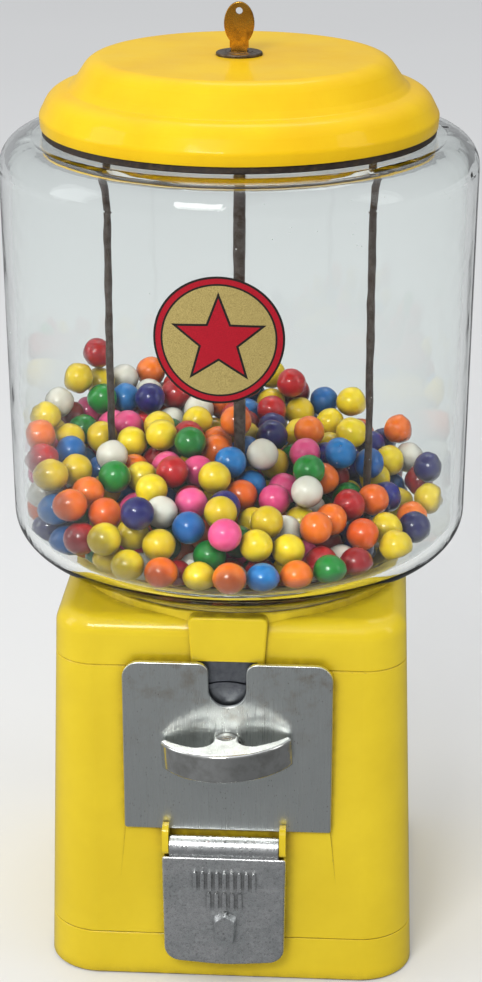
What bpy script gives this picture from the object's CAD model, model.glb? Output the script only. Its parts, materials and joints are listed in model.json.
import json
import math

import bmesh
import bpy
import numpy as np
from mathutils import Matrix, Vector


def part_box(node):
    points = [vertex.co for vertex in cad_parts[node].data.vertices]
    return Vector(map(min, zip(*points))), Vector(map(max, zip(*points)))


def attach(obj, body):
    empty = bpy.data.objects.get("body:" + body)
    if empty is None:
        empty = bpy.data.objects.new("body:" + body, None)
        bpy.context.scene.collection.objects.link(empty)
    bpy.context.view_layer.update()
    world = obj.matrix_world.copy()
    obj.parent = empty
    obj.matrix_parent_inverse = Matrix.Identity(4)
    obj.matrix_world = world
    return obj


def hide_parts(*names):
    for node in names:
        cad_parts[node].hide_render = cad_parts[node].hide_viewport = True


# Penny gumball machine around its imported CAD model. Metres, +Z up, the front faces -Y.

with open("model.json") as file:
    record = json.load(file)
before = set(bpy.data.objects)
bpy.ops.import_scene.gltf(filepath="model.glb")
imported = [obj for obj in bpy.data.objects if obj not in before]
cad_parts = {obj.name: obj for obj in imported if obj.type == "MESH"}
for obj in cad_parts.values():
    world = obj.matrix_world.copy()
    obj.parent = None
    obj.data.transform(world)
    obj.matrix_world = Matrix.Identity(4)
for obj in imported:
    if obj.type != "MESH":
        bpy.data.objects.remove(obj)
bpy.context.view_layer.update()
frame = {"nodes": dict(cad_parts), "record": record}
nodes = frame["nodes"]
scene = bpy.context.scene

MM = 0.001

# Camera: elevation and azimuth in degrees, the rest in metres and lens millimetres
CAMERA_ELEVATION = 21.1
CAMERA_AZIMUTH = 3.63
CAMERA_DISTANCE = 0.975
CAMERA_TARGET = (0.0007, 0.0, 0.1937)
CAMERA_LENS = 82.87
SENSOR_WIDTH = 36.0

# Strength of the world's light from the walls, and what the ceiling adds to it
WALL_LIGHT = 0.32
CEILING_LIGHT = 0.72
WORLD_COLOUR = (0.96, 0.975, 1.0, 1.0)
LIGHT_AIM = (0.0, 0.0, 0.20)
FLOOR_RADIUS = 7.0
ROUND_STEPS = 96               # corners of the floor, and of each ring of the label

# Gumballs: divisions of their mesh, the share of them with a flat or a chip, and how far they are
# out of round, as a share of the radius
BALL_DIVISIONS = 3
DENTED_SHARE = 0.12
CHIPPED_SHARE = 0.03
WAVES_PER_BALL = 3
WAVE_DEPTH = 0.012
WAVE_PHASES = 6.28
FLAT_NEAREST = 0.90
FLAT_FURTHEST = 0.955
GLOBE_SEED = 20
POCKET_SEED = 40

# The label's star, with sizes as shares of the label's radius
STAR_POINTS = 5
STAR_WAIST = 0.42
STAR_OUTLINE = 0.76
STAR_FACE = 0.66
STAR_STEPS = 8                 # rows of triangles in each half point
INK_THICKNESS = 0.02 * MM


# ---------------------------------------------------------------- node materials

class Finish:
    """A node material round one Principled shader. Its textures follow the piece, in millimetres."""

    def __init__(self, name, **sockets):
        self.material = bpy.data.materials.new(name)
        self.material.use_nodes = True
        self.tree = self.material.node_tree
        self.shader = self.tree.nodes["Principled BSDF"]
        metres = self.add("ShaderNodeTexCoord").outputs["Object"]
        scaled = self.add("ShaderNodeVectorMath", {"Vector": metres, "Scale": 1 / MM}, operation="SCALE")
        self.place = scaled.outputs[0]
        for name_of_socket, value in sockets.items():
            self.set(name_of_socket.replace("_", " "), value)

    def add(self, kind, inputs=(), **settings):
        """A new node with its settings and its inputs, each a number, a colour or another node's output."""
        node = self.tree.nodes.new(kind)
        for key, value in settings.items():
            setattr(node, key, value)
        for key, value in dict(inputs).items():
            self.feed(node.inputs[key], value)
        return node

    def feed(self, socket, value):
        if isinstance(value, bpy.types.NodeSocket):
            self.tree.links.new(value, socket)
        elif socket.type == "RGBA":
            socket.default_value = (*value, 1.0)
        else:
            socket.default_value = value

    def set(self, name, value):
        """Set one of the Principled shader's sockets."""
        self.feed(self.shader.inputs[name], value)

    def stretched(self, stretch):
        """The place in millimetres, scaled along each axis."""
        return self.add("ShaderNodeVectorMath", {0: self.place, 1: stretch}, operation="MULTIPLY").outputs[0]

    def noise(self, scale, detail=3.0, roughness=0.5, distortion=0.0, stretch=None):
        """Noise with features of about 1/scale millimetres."""
        place = self.stretched(stretch) if stretch else self.place
        inputs = {"Vector": place, "Scale": scale, "Detail": detail}
        inputs |= {"Roughness": roughness, "Distortion": distortion}
        return self.add("ShaderNodeTexNoise", inputs).outputs[0]

    def cells(self, scale, feature="F1", output="Distance"):
        """Cellular pattern with cells of about 1/scale millimetres."""
        node = self.add("ShaderNodeTexVoronoi", {"Vector": self.place, "Scale": scale}, feature=feature)
        return node.outputs[output]

    def span(self, value, low, high, to_low=0.0, to_high=1.0):
        """A value mapped from one range to another, and held at its ends."""
        inputs = {"Value": value, "From Min": low, "From Max": high, "To Min": to_low, "To Max": to_high}
        return self.add("ShaderNodeMapRange", inputs).outputs[0]

    def math(self, operation, first, second):
        return self.add("ShaderNodeMath", {0: first, 1: second}, operation=operation).outputs[0]

    def blend(self, factor, first, second):
        """A colour that goes from first to second as factor goes from 0 to 1."""
        node = self.add("ShaderNodeMix", {0: factor, 6: first, 7: second}, data_type="RGBA")
        return node.outputs[2]

    def attribute(self, name):
        return self.add("ShaderNodeAttribute", attribute_name=name).outputs["Fac"]

    def bump(self, height, depth_mm, normal=None):
        """Surface relief of a depth in millimetres for heights from 0 to 1."""
        inputs = {"Height": height, "Distance": depth_mm * MM, "Strength": 1.0}
        if normal is not None:
            inputs["Normal"] = normal
        return self.add("ShaderNodeBump", inputs).outputs[0]

    def edges(self, radius_mm):
        """1 on edges rounded to a radius, 0 on the faces between them."""
        rounded = self.add("ShaderNodeBevel", {"Radius": radius_mm * MM}, samples=4).outputs[0]
        flat = self.add("ShaderNodeNewGeometry").outputs["Normal"]
        alike = self.add("ShaderNodeVectorMath", {0: rounded, 1: flat}, operation="DOT_PRODUCT")
        return self.span(alike.outputs["Value"], 0.985, 0.86)

    def crevices(self, reach_mm):
        """1 deep in corners and gaps, 0 in the open."""
        node = self.add("ShaderNodeAmbientOcclusion", {"Distance": reach_mm * MM}, samples=6)
        return self.span(node.outputs["AO"], 0.85, 0.25)


def enamel(name, bright, deep, grime, gloss, coat):
    """Stove enamel on metal: orange peel, cloudy tone, fine scratches, grime in corners, worn edges."""
    finish = Finish(name, Coat_Weight=coat, Coat_Roughness=0.06, Specular_IOR_Level=gloss)
    cloud = finish.span(finish.noise(0.022, 4.0, 0.6), 0.36, 0.66)
    tone = finish.blend(cloud, bright, deep)
    mottled = finish.math("MULTIPLY", finish.span(finish.noise(0.4, 3.0), 0.45, 0.8), 0.16)
    tone = finish.blend(mottled, tone, deep)
    smudges = finish.span(finish.noise(0.25, 4.0), 0.25, 0.6, 0.45, 0.95)
    dirt = finish.math("MULTIPLY", finish.crevices(7.0), smudges)
    tone = finish.blend(dirt, tone, grime)
    scratch = finish.span(finish.noise(0.5, 2.0, 0.5, 0.4, (0.05, 1.0, 2.2)), 0.70, 0.74)
    rubbed = finish.span(finish.noise(0.35, 5.0, 0.7), 0.60, 0.66)
    worn = finish.math("MULTIPLY", finish.edges(0.5), rubbed)
    tone = finish.blend(worn, tone, (0.22, 0.17, 0.06))
    finish.set("Base Color", tone)
    rough = finish.span(finish.noise(0.06, 4.0), 0.3, 0.7, 0.30, 0.40)
    finish.set("Roughness", finish.math("MAXIMUM", rough, finish.math("MULTIPLY", scratch, 0.5)))
    peel = finish.bump(finish.noise(0.55, 2.0), 0.012)
    finish.set("Normal", finish.bump(scratch, -0.004, peel))
    return finish.material


def clear_glass(name):
    """Pressed glass: nearly clear, faintly green, with smears and dust, and lamps shine through it."""
    finish = Finish(name, Transmission_Weight=1.0, IOR=1.33, Base_Color=(0.96, 0.988, 0.978))
    smear = finish.span(finish.noise(0.05, 5.0, 0.6, 1.0), 0.60, 0.80, 0.0, 0.025)
    speck = finish.span(finish.cells(0.16), 0.08, 0.04, 0.0, 0.3)
    patchy = finish.span(finish.noise(0.02, 2.0), 0.55, 0.62)
    finish.set("Roughness", finish.math("ADD", smear, finish.math("MULTIPLY", speck, patchy)))
    finish.set("Normal", finish.bump(finish.noise(0.035, 2.0), 0.25))
    lamp = finish.add("ShaderNodeBsdfTransparent", {"Color": (0.93, 0.95, 0.94)})
    path = finish.add("ShaderNodeLightPath").outputs["Is Shadow Ray"]
    mixed = finish.add("ShaderNodeMixShader", {0: path, 1: finish.shader.outputs[0], 2: lamp.outputs[0]})
    output = finish.tree.nodes["Material Output"]
    finish.tree.links.new(mixed.outputs[0], output.inputs["Surface"])
    return finish.material


def chrome_plate(name):
    """Nickel-chrome on sheet steel, brushed up and down, with stains near the top edge."""
    finish = Finish(name, Metallic=1.0)
    low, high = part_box("face_plate")
    stain = finish.span(finish.noise(0.12, 5.0, 0.65), 0.50, 0.74)
    height = finish.add("ShaderNodeSeparateXYZ", {0: finish.place}).outputs[2]
    upper = finish.span(height, (low.z + (high.z - low.z) * 0.45) / MM, high.z / MM)
    stained = finish.math("MULTIPLY", stain, finish.math("MULTIPLY", upper, 0.9))
    metal = finish.blend(stained, (0.80, 0.84, 0.82), (0.50, 0.42, 0.32))
    specks = finish.span(finish.cells(0.7), 0.16, 0.08)
    spots = finish.math("MULTIPLY", specks, finish.span(finish.noise(0.2), 0.48, 0.62))
    finish.set("Base Color", finish.blend(spots, metal, (0.10, 0.07, 0.045)))
    brushed = finish.noise(1.0, 3.0, 0.6, 0.0, (7.0, 1.0, 0.05))
    finish.set("Roughness", finish.span(brushed, 0.3, 0.7, 0.24, 0.38))
    waves = finish.bump(finish.noise(0.045, 2.0), 0.20)
    streaks = finish.bump(brushed, 0.008, waves)
    finish.set("Normal", finish.bump(spots, -0.03, streaks))
    return finish.material


def chrome_handle(name):
    """Polished chrome on a zinc casting, a little wavy, with wear through to yellow metal at the edges."""
    finish = Finish(name, Metallic=1.0)
    haze = finish.span(finish.noise(0.15, 5.0, 0.6), 0.42, 0.7)
    metal = finish.blend(haze, (0.72, 0.73, 0.71), (0.48, 0.48, 0.45))
    rubbed = finish.span(finish.noise(0.3, 4.0), 0.45, 0.6, 0.1, 0.8)
    worn = finish.math("MULTIPLY", finish.edges(0.7), rubbed)
    finish.set("Base Color", finish.blend(worn, metal, (0.55, 0.40, 0.20)))
    finish.set("Roughness", finish.span(haze, 0.0, 1.0, 0.09, 0.22))
    waves = finish.bump(finish.noise(0.16, 2.0), 0.05)
    pits = finish.span(finish.cells(0.8), 0.14, 0.06)
    finish.set("Normal", finish.bump(finish.math("MULTIPLY", pits, haze), -0.03, waves))
    return finish.material


def chrome_door(name):
    """Chrome on a rough sand casting: pitted, blotchy, dark in the pits."""
    finish = Finish(name, Metallic=1.0)
    pit = finish.span(finish.cells(1.1), 0.34, 0.10)
    coarse = finish.span(finish.noise(0.9, 4.0, 0.65), 0.52, 0.68)
    scattered = finish.math("MULTIPLY", pit, finish.span(finish.noise(0.25), 0.4, 0.6))
    pitted = finish.math("MAXIMUM", scattered, coarse)
    blotch = finish.span(finish.noise(0.07, 5.0, 0.65), 0.38, 0.66)
    metal = finish.blend(blotch, (0.97, 0.98, 0.98), (0.78, 0.81, 0.81))
    metal = finish.blend(finish.math("MULTIPLY", pitted, 0.45), metal, (0.10, 0.10, 0.10))
    metal = finish.blend(finish.crevices(2.2), metal, (0.05, 0.045, 0.04))
    polished = finish.math("MULTIPLY", finish.edges(0.5), 0.7)
    finish.set("Base Color", finish.blend(polished, metal, (0.86, 0.87, 0.88)))
    finish.set("Roughness", finish.span(finish.noise(0.5, 4.0), 0.3, 0.7, 0.16, 0.42))
    grain = finish.bump(finish.noise(1.6, 3.0, 0.6), 0.025)
    finish.set("Normal", finish.bump(pitted, -0.05, grain))
    return finish.material


def worn_metal(name, bright, dark, rough, speckle, depth_mm, metallic=1.0):
    """Bare metal of one kind: two tones in patches, fine grain and darker crevices."""
    finish = Finish(name, Metallic=metallic)
    patch = finish.span(finish.noise(speckle, 5.0, 0.65), 0.38, 0.68)
    tone = finish.blend(patch, bright, dark)
    shade = [channel * 0.25 for channel in dark]
    finish.set("Base Color", finish.blend(finish.math("MULTIPLY", finish.crevices(3.0), 0.8), tone, shade))
    finish.set("Roughness", finish.span(patch, 0.0, 1.0, rough, min(1.0, rough + 0.2)))
    finish.set("Normal", finish.bump(finish.noise(1.8, 4.0, 0.6), depth_mm))
    return finish.material


def galvanised(name):
    """Zinc-dipped sheet with spangles."""
    finish = Finish(name, Metallic=1.0)
    spangle = finish.cells(0.16, output="Color")
    grey = finish.add("ShaderNodeRGBToBW", {0: spangle}).outputs[0]
    finish.set("Base Color", finish.blend(grey, (0.42, 0.44, 0.46), (0.62, 0.64, 0.66)))
    finish.set("Roughness", finish.span(grey, 0.0, 1.0, 0.32, 0.50))
    finish.set("Normal", finish.bump(finish.noise(1.0, 3.0), 0.01))
    return finish.material


def old_rubber(name, clean, dusty):
    """Perished rubber with dust on it."""
    finish = Finish(name, Specular_IOR_Level=0.35)
    dust = finish.span(finish.noise(0.4, 5.0, 0.7), 0.45, 0.7, 0.0, 0.55)
    finish.set("Base Color", finish.blend(dust, clean, dusty))
    finish.set("Roughness", finish.span(dust, 0.0, 0.55, 0.45, 0.85))
    finish.set("Normal", finish.bump(finish.noise(1.2, 4.0), 0.08))
    return finish.material


def candy(name, colour, deep):
    """Sugar shell of a gumball: each has its own tone, mottled, and chipped ones show the white inside."""
    finish = Finish(
        name,
        Coat_Weight=0.85,
        Coat_Roughness=0.09,
        Specular_IOR_Level=0.2,
        Subsurface_Weight=0.04,
        Subsurface_Scale=MM,
    )
    tone = finish.blend(finish.attribute("tone"), colour, deep)
    mottle = finish.span(finish.noise(0.30, 4.0, 0.6), 0.42, 0.72, 0.0, 0.6)
    shell = finish.blend(mottle, tone, deep)
    pale = [0.55 + 0.45 * channel for channel in colour]
    bloom = finish.span(finish.noise(0.55, 5.0, 0.7), 0.64, 0.80, 0.0, 0.16)
    shell = finish.blend(bloom, shell, pale)
    gap = finish.math("MULTIPLY", finish.crevices(9.0), 0.85)
    shell = finish.blend(gap, shell, [0.25 * channel for channel in deep])
    patch = finish.span(finish.noise(0.13, 2.0, 0.4), 0.54, 0.56)
    chip = finish.math("MULTIPLY", finish.attribute("chip"), patch)
    finish.set("Base Color", finish.blend(chip, shell, (0.84, 0.80, 0.73)))
    finish.set("Roughness", finish.span(finish.noise(0.5, 4.0), 0.3, 0.7, 0.30, 0.46))
    skin = finish.bump(finish.noise(0.5, 3.0), 0.06)
    finish.set("Normal", finish.bump(chip, -0.25, skin))
    return finish.material


def print_ink(name, colour, speck, metallic=0.0):
    """Ink of a printed vinyl label, with fine speckle."""
    finish = Finish(name, Metallic=metallic, Specular_IOR_Level=0.22)
    grains = finish.span(finish.noise(3.2, 2.0, 0.8), 0.42, 0.62)
    finish.set("Base Color", finish.blend(grains, colour, speck))
    finish.set("Roughness", finish.span(finish.noise(0.3, 3.0), 0.3, 0.7, 0.42, 0.55))
    return finish.material


# Gumball colours: the fresh shell and the deeper tone of its mottling
CANDY_COLOURS = {
    "red": ((0.54, 0.004, 0.008), (0.24, 0.002, 0.006)),
    "orange": ((0.92, 0.20, 0.002), (0.74, 0.09, 0.002)),
    "yellow": ((0.90, 0.68, 0.006), (0.68, 0.46, 0.004)),
    "green": ((0.003, 0.25, 0.024), (0.002, 0.12, 0.014)),
    "blue": ((0.004, 0.20, 0.56), (0.002, 0.09, 0.34)),
    "navy": ((0.007, 0.006, 0.20), (0.004, 0.004, 0.08)),
    "pink": ((0.90, 0.10, 0.31), (0.72, 0.05, 0.20)),
    "white": ((0.80, 0.78, 0.72), (0.66, 0.62, 0.54)),
}

# Bare metals: both tones, roughness, patches per millimetre, depth of the grain in millimetres,
# and how metallic it is where rust makes it less than wholly so
BARE_METALS = {
    "brass_key": ((0.66, 0.33, 0.045), (0.28, 0.13, 0.018), 0.17, 0.25, 0.03),
    "lock_steel": ((0.20, 0.16, 0.12), (0.06, 0.042, 0.03), 0.34, 0.6, 0.03),
    "rod_steel": ((0.11, 0.09, 0.08), (0.05, 0.028, 0.018), 0.42, 0.35, 0.12, 0.85),
    "zinc": ((0.36, 0.38, 0.41), (0.20, 0.21, 0.24), 0.30, 0.3, 0.03),
    "mech_steel": ((0.48, 0.47, 0.45), (0.28, 0.25, 0.21), 0.28, 0.4, 0.02),
    "cast_aluminium": ((0.60, 0.61, 0.62), (0.40, 0.41, 0.42), 0.38, 0.5, 0.06),
    "bronze": ((0.50, 0.30, 0.12), (0.24, 0.12, 0.04), 0.30, 0.5, 0.02),
}

# Enamels: bright and deep tone, grime, reflection of the paint and of its clear coat
ENAMELS = {
    "body_enamel": ((0.82, 0.61, 0.021), (0.75, 0.545, 0.016), (0.20, 0.13, 0.01), 0.20, 0.45),
    "lid_enamel": ((0.93, 0.60, 0.010), (0.87, 0.52, 0.008), (0.30, 0.16, 0.008), 0.08, 0.20),
}

finishes = {
    "clear_glass": clear_glass("clear_glass_finish"),
    "chrome_plate": chrome_plate("chrome_plate_finish"),
    "chrome_handle": chrome_handle("chrome_handle_finish"),
    "chrome_door": chrome_door("chrome_door_finish"),
    "galvanised_sheet": galvanised("galvanised_sheet_finish"),
    "dark_gasket": old_rubber("dark_gasket_finish", (0.020, 0.012, 0.008), (0.11, 0.075, 0.045)),
    "pale_gasket": old_rubber("pale_gasket_finish", (0.62, 0.47, 0.10), (0.44, 0.34, 0.12)),
    "decal": print_ink("decal_gold_ink", (0.56, 0.44, 0.16), (0.34, 0.26, 0.085), 0.25),
}
for slot, look in ENAMELS.items():
    finishes[slot] = enamel(f"{slot}_finish", *look)
for slot, look in BARE_METALS.items():
    finishes[slot] = worn_metal(f"{slot}_finish", *look)
for colour, tones in CANDY_COLOURS.items():
    finishes[f"gumball_{colour}"] = candy(f"gumball_{colour}_finish", *tones)

for part in frame["record"]["subparts"]:
    nodes[part["node"]].material_slots[0].material = finishes[part["material_slot"]]


# ---------------------------------------------------------------- pieces made here

def new_piece(name, mesh, materials, body, slot, *stands_for):
    """A shown object for a mesh, riding on a body and standing for CAD nodes."""
    for material in materials:
        mesh.materials.append(material)
    piece = bpy.data.objects.new(name, mesh)
    scene.collection.objects.link(piece)
    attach(piece, body)
    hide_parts(*stands_for)
    return piece


def ball_centres(node):
    """Centre and radius of each separate ball in a CAD node."""
    mesh = nodes[node].data
    places = np.zeros(len(mesh.vertices) * 3)
    mesh.vertices.foreach_get("co", places)
    places = places.reshape(-1, 3)
    ends = np.zeros(len(mesh.edges) * 2, int)
    mesh.edges.foreach_get("vertices", ends)
    ends = ends.reshape(-1, 2)
    group = np.arange(len(places))
    while True:
        lowest = np.minimum(group[ends[:, 0]], group[ends[:, 1]])
        joined = group.copy()
        np.minimum.at(joined, ends[:, 0], lowest)
        np.minimum.at(joined, ends[:, 1], lowest)
        joined = joined[joined]
        if np.array_equal(joined, group):
            break
        group = joined
    centres, radii = [], []
    for label in np.unique(group):
        ball = places[group == label]
        centres.append((ball.min(0) + ball.max(0)) / 2)
        radii.append(np.ptp(ball, axis=0).max() / 2)
    return np.array(centres), max(radii)


def unit_ball(divisions):
    """Points and triangles of a ball of radius 1."""
    work = bmesh.new()
    bmesh.ops.create_icosphere(work, subdivisions=divisions, radius=1.0)
    points = np.array([vertex.co for vertex in work.verts])
    faces = np.array([[vertex.index for vertex in face.verts] for face in work.faces])
    work.free()
    return points, faces


ball_points, ball_faces = unit_ball(BALL_DIVISIONS)


def gumballs(node, body, slot, seed):
    """Candy balls in place of a CAD node's: each slightly out of round, some with a flat or a chip."""
    random = np.random.default_rng(seed)
    centres, radius = ball_centres(node)
    points, faces, tones, chips = [], [], [], []
    for index, centre in enumerate(centres):
        shape = ball_points.copy()
        sunk = np.zeros(len(shape))
        for _ in range(WAVES_PER_BALL):
            waves = random.normal(size=3)
            swell = np.sin(shape @ waves * 2.0 + random.uniform(0, WAVE_PHASES))
            sunk += WAVE_DEPTH * (1.0 + swell) / 2
        if random.random() < DENTED_SHARE:
            side = random.normal(size=3)
            side /= np.linalg.norm(side)
            flat = random.uniform(FLAT_NEAREST, FLAT_FURTHEST)
            facing = shape @ side
            sunk = np.maximum(sunk, 1.0 - flat / np.maximum(facing, flat))
        shape *= (1.0 - sunk)[:, None] * radius
        points.append(shape + centre)
        faces.append(ball_faces + index * len(ball_points))
        tones.append(np.full(len(shape), random.random() ** 1.5))
        chips.append(np.full(len(shape), float(random.random() < CHIPPED_SHARE)))
    mesh = bpy.data.meshes.new(node + "_candy")
    mesh.from_pydata(np.concatenate(points).tolist(), [], np.concatenate(faces).tolist())
    mesh.shade_smooth()
    for name, values in (("tone", tones), ("chip", chips)):
        attribute = mesh.attributes.new(name, "FLOAT", "POINT")
        attribute.data.foreach_set("value", np.concatenate(values).astype(np.float32))
    return new_piece(node + "_candy", mesh, [finishes[slot]], body, slot, node)


for number, colour in enumerate(CANDY_COLOURS):
    gumballs(f"gumballs_{colour}", "root", f"gumball_{colour}", GLOBE_SEED + number)
gumballs("pocket_gumballs", "wheel", "gumball_orange", POCKET_SEED)


def label_surface():
    """Function that puts a point of the label's face on the front of the CAD label."""
    places = np.array([vertex.co for vertex in nodes["globe_decal"].data.vertices])
    reach = np.hypot(places[:, 0], places[:, 1])
    slope, level = np.polyfit(places[:, 2], reach, 1)
    level += (reach - slope * places[:, 2] - level).max()
    low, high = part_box("globe_decal")
    middle = (low + high) / 2

    def put(across, up, proud=0.0):
        x, z = middle.x + across, middle.z + up
        around = slope * z + level + proud
        return (x, -math.sqrt(around ** 2 - x ** 2), z)

    return put, (high.z - low.z) / 2


def label():
    """Round printed label: gold face, a red ring between black lines, and a red star outlined in black."""
    put, radius = label_surface()
    gold, black, red = range(3)
    bands = [
        (0.0, gold), (0.2, gold), (0.4, gold), (0.6, gold),
        (0.855, black), (0.885, red), (0.965, black), (1.0, black),
    ]
    points, faces, inks = [put(0.0, 0.0)], [], []
    for share, _ in bands[1:]:
        for k in range(ROUND_STEPS):
            angle = 2 * math.pi * k / ROUND_STEPS
            points.append(put(radius * share * math.cos(angle), radius * share * math.sin(angle)))
    for ring, (_, ink) in enumerate(bands[:-1]):
        for k in range(ROUND_STEPS):
            following = (k + 1) % ROUND_STEPS
            inner, outer = 1 + (ring - 1) * ROUND_STEPS, 1 + ring * ROUND_STEPS
            if ring == 0:
                faces.append((0, outer + k, outer + following))
            else:
                faces.append((inner + k, outer + k, outer + following, inner + following))
            inks.append(ink)

    def star(size, proud, ink):
        """Five-pointed star, in small triangles that follow the curved face."""
        for k in range(2 * STAR_POINTS):
            corners = []
            for turn in (k, k + 1):
                reach = size * (1.0 if turn % 2 == 0 else STAR_WAIST)
                angle = math.pi / 2 + turn * math.pi / STAR_POINTS
                corners.append(np.array([reach * math.cos(angle), reach * math.sin(angle)]))
            start = len(points)
            for row in range(STAR_STEPS + 1):
                for column in range(row + 1):
                    spot = (corners[0] * (row - column) + corners[1] * column) / STAR_STEPS
                    points.append(put(*spot, proud))
            first = [start + row * (row + 1) // 2 for row in range(STAR_STEPS + 1)]
            for row in range(STAR_STEPS):
                for column in range(row + 1):
                    upper, lower = first[row] + column, first[row + 1] + column
                    faces.append((upper, lower, lower + 1))
                    inks.append(ink)
                    if column < row:
                        faces.append((upper, lower + 1, upper + 1))
                        inks.append(ink)

    star(radius * STAR_OUTLINE, INK_THICKNESS, black)
    star(radius * STAR_FACE, 2 * INK_THICKNESS, red)
    mesh = bpy.data.meshes.new("label_print")
    mesh.from_pydata(points, [], faces)
    mesh.polygons.foreach_set("material_index", inks)
    mesh.shade_smooth()
    materials = [
        finishes["decal"],
        print_ink("decal_black_ink", (0.012, 0.010, 0.010), (0.030, 0.022, 0.020)),
        print_ink("decal_red_ink", (0.46, 0.006, 0.020), (0.32, 0.004, 0.014)),
    ]
    work = bmesh.new()
    work.from_mesh(mesh)
    bmesh.ops.recalc_face_normals(work, faces=work.faces)
    work.to_mesh(mesh)
    work.free()
    return new_piece("label_print", mesh, materials, "root", "decal", "globe_decal")


label()


# ---------------------------------------------------------------- stage, lights and camera

def floor():
    """Wide, flat, pale floor that chrome and glass don't reflect."""
    mesh = bpy.data.meshes.new("studio_floor")
    work = bmesh.new()
    bmesh.ops.create_circle(work, cap_ends=True, radius=FLOOR_RADIUS, segments=ROUND_STEPS)
    work.to_mesh(mesh)
    work.free()
    surface = bpy.data.objects.new("studio_floor", mesh)
    scene.collection.objects.link(surface)
    finish = Finish("studio_floor_paper")
    cloud = finish.noise(0.002, 2.0)
    finish.set("Base Color", finish.blend(cloud, (0.80, 0.80, 0.795), (0.77, 0.77, 0.765)))
    finish.set("Roughness", 0.9)
    mesh.materials.append(finish.material)
    surface.visible_glossy = False


def softbox(name, place, width, height, power, colour=(1.0, 1.0, 1.0)):
    """Rectangular area light at a place, facing the machine's body."""
    lamp = bpy.data.lights.new(name, "AREA")
    lamp.shape = "RECTANGLE"
    lamp.size = width
    lamp.size_y = height
    lamp.energy = power
    lamp.color = colour
    light = bpy.data.objects.new(name, lamp)
    light.location = place
    light.rotation_mode = "QUATERNION"
    light.rotation_quaternion = (Vector(LIGHT_AIM) - Vector(place)).to_track_quat("-Z", "Y")
    scene.collection.objects.link(light)


floor()
softbox("key_light", (-0.30, -1.00, 0.98), 0.44, 0.30, 7.4, (1.0, 0.985, 0.96))
softbox("left_light", (-1.3, -0.2, 0.75), 0.5, 0.9, 3.5, (0.96, 0.98, 1.0))
softbox("right_light", (1.3, -0.35, 0.8), 0.4, 0.9, 2.0)
softbox("back_light", (0.1, 1.1, 2.2), 1.0, 0.6, 5.0)


def sky():
    """Soft light from a bright ceiling over dimmer walls, brighter to the left than to the right."""
    world = bpy.data.worlds.new("studio_world")
    world.use_nodes = True
    tree = world.node_tree
    direction = tree.nodes.new("ShaderNodeTexCoord").outputs["Generated"]
    split = tree.nodes.new("ShaderNodeSeparateXYZ")
    tree.links.new(direction, split.inputs[0])

    def grade(value, low, high, to_low, to_high):
        node = tree.nodes.new("ShaderNodeMapRange")
        node.interpolation_type = "SMOOTHSTEP"
        tree.links.new(value, node.inputs["Value"])
        limits = {"From Min": low, "From Max": high, "To Min": to_low, "To Max": to_high}
        for socket, number in limits.items():
            node.inputs[socket].default_value = number
        return node.outputs[0]

    def combine(operation, first, second):
        node = tree.nodes.new("ShaderNodeMath")
        node.operation = operation
        tree.links.new(first, node.inputs[0])
        tree.links.new(second, node.inputs[1])
        return node.outputs[0]

    ceiling = grade(split.outputs[2], 0.35, 0.90, 0.0, CEILING_LIGHT)
    wall = grade(split.outputs[2], -0.70, 0.10, WALL_LIGHT * 0.55, WALL_LIGHT)
    side = grade(split.outputs[0], -0.5, 0.5, 1.25, 0.75)
    background = tree.nodes["Background"]
    background.inputs["Color"].default_value = WORLD_COLOUR
    strength = combine("ADD", ceiling, combine("MULTIPLY", wall, side))
    tree.links.new(strength, background.inputs["Strength"])
    scene.world = world


sky()
scene.view_settings.view_transform = "Standard"

elevation = math.radians(CAMERA_ELEVATION)
azimuth = math.radians(CAMERA_AZIMUTH)
back = Vector((
    math.sin(azimuth) * math.cos(elevation),
    -math.cos(azimuth) * math.cos(elevation),
    math.sin(elevation),
))
lens = bpy.data.cameras.new("photo_camera")
lens.lens = CAMERA_LENS
lens.sensor_width = SENSOR_WIDTH
camera = bpy.data.objects.new("photo_camera", lens)
camera.location = Vector(CAMERA_TARGET) + back * CAMERA_DISTANCE
camera.rotation_mode = "QUATERNION"
camera.rotation_quaternion = back.to_track_quat("Z", "Y")
scene.collection.objects.link(camera)
scene.camera = camera
